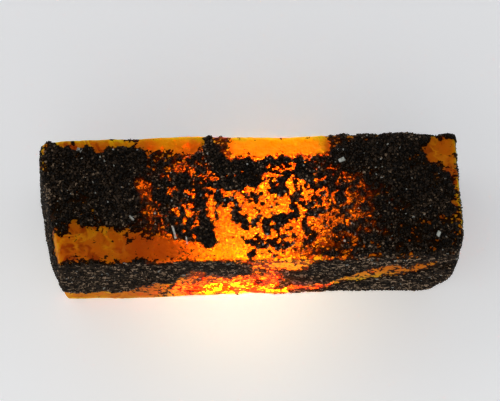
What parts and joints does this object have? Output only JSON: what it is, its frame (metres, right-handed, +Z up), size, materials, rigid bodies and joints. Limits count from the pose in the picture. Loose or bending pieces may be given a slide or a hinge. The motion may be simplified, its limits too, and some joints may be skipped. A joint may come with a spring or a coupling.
{
  "type": "rough sapphire",
  "caption": "Bar-shaped rough crystal of cloudy orange sapphire with flat parting faces and a ragged black mica crust.",
  "frame": {"origin": "under the middle of the stone, on the face that it rests on", "axes": "+X along the crystal, towards the end with the bare amber rim; +Y from the front face to the back face; +Z up from the resting face"},
  "size_m": [0.0761, 0.0263, 0.0184],
  "materials": {
    "sapphire": "frosted, cloudy and translucent orange to amber, with paler veins",
    "mica_crust": "sugary black mica grains with small glints",
    "pale_mica": "pale grey-white flakes and needles with a soft sheen"
  },
  "bodies": {
    "root": {"sapphire": "sapphire"}
  },
  "joints": []
}
